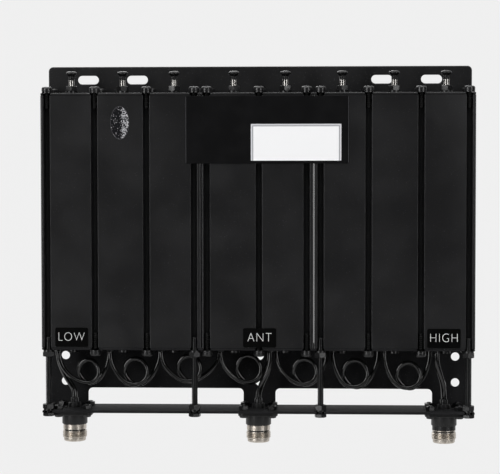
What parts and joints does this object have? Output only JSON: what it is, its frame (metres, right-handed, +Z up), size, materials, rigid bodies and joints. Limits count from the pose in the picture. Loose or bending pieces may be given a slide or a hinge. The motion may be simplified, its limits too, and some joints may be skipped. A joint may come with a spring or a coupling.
{
  "type": "rf duplexer",
  "caption": "Black cavity duplexer: ribbed extruded housings in a row, slotted top flange, tuning screws, looped coaxial jumpers and a bottom shelf with threaded radio connectors.",
  "frame": {"origin": "centre of the upper mounting slots, on the plane of the two mounting faces", "axes": "+X to the right seen from the front, -Y towards the front plate, +Z up"},
  "size_m": [0.2764, 0.037, 0.2433],
  "materials": {
    "painted_extrusion": "semi-matt black spray paint over extruded aluminium",
    "painted_sheet": "semi-matt black spray paint over bent aluminium sheet",
    "painted_steel": "semi-matt black spray paint over steel fasteners",
    "tuning_screw_steel": "steel, its head sprayed black, its thread bright",
    "painted_brass": "semi-matt black spray paint over brass",
    "plated_brass": "silver plated brass",
    "connector_nickel": "bright nickel plating, sprayed black down to the collar",
    "ptfe": "white fluoropolymer, machined",
    "contact_plating": "gold plated brass",
    "cable_jacket": "cable jacket sprayed semi-matt black",
    "label_vinyl": "satin black printed film",
    "foil": "dark embossed foil"
  },
  "bodies": {
    "duplexer": {"bottom_bracket": "painted_sheet", "cable_ferrules": "painted_brass", "connector_antenna": "connector_nickel", "connector_contacts": "contact_plating", "connector_high": "connector_nickel", "connector_insulators": "ptfe", "connector_low": "connector_nickel", "coupling_loops": "plated_brass", "cover_screws_bottom": "painted_steel", "cover_screws_top": "painted_steel", "flange_nuts": "painted_steel", "flange_screws": "painted_steel", "foil_sticker": "foil", "housing_left": "painted_extrusion", "housing_middle": "painted_extrusion", "housing_right": "painted_extrusion", "jumper_1": "cable_jacket", "jumper_2": "cable_jacket", "jumper_3": "cable_jacket", "jumper_4": "cable_jacket", "jumper_5": "cable_jacket", "jumper_6": "cable_jacket", "jumper_7": "cable_jacket", "label_antenna": "label_vinyl", "label_high": "label_vinyl", "label_low": "label_vinyl", "lead_antenna": "cable_jacket", "lead_high": "cable_jacket", "lead_low": "cable_jacket", "lead_sleeves": "painted_brass", "lock_nuts": "painted_brass", "nameplate": "label_vinyl", "resonator_screws": "painted_steel", "resonators": "plated_brass", "rod_cover_nuts": "painted_steel", "rod_cover_washers": "painted_steel", "shelf_nuts": "painted_steel", "shelf_thin_nuts": "painted_steel", "shelf_washers": "painted_steel", "standoff_rods": "painted_steel", "top_cover": "painted_sheet", "tuning_bushes": "painted_brass"},
    "tuner_1": {"tuning_screw_1": "tuning_screw_steel"},
    "tuner_2": {"tuning_screw_2": "tuning_screw_steel"},
    "tuner_3": {"tuning_screw_3": "tuning_screw_steel"},
    "tuner_4": {"tuning_screw_4": "tuning_screw_steel"},
    "tuner_5": {"tuning_screw_5": "tuning_screw_steel"},
    "tuner_6": {"tuning_screw_6": "tuning_screw_steel"},
    "tuner_7": {"tuning_screw_7": "tuning_screw_steel"},
    "tuner_8": {"tuning_screw_8": "tuning_screw_steel"}
  },
  "joints": [
    {"name": "tuner_1_travel", "type": "slide", "parent": "duplexer", "child": "tuner_1", "axis": [0, 0, 1], "range_m": [-0.006, 0.012]},
    {"name": "tuner_2_travel", "type": "slide", "parent": "duplexer", "child": "tuner_2", "axis": [0, 0, 1], "range_m": [-0.006, 0.012]},
    {"name": "tuner_3_travel", "type": "slide", "parent": "duplexer", "child": "tuner_3", "axis": [0, 0, 1], "range_m": [-0.006, 0.012]},
    {"name": "tuner_4_travel", "type": "slide", "parent": "duplexer", "child": "tuner_4", "axis": [0, 0, 1], "range_m": [-0.006, 0.012]},
    {"name": "tuner_5_travel", "type": "slide", "parent": "duplexer", "child": "tuner_5", "axis": [0, 0, 1], "range_m": [-0.006, 0.012]},
    {"name": "tuner_6_travel", "type": "slide", "parent": "duplexer", "child": "tuner_6", "axis": [0, 0, 1], "range_m": [-0.006, 0.012]},
    {"name": "tuner_7_travel", "type": "slide", "parent": "duplexer", "child": "tuner_7", "axis": [0, 0, 1], "range_m": [-0.006, 0.012]},
    {"name": "tuner_8_travel", "type": "slide", "parent": "duplexer", "child": "tuner_8", "axis": [0, 0, 1], "range_m": [-0.006, 0.012]}
  ]
}
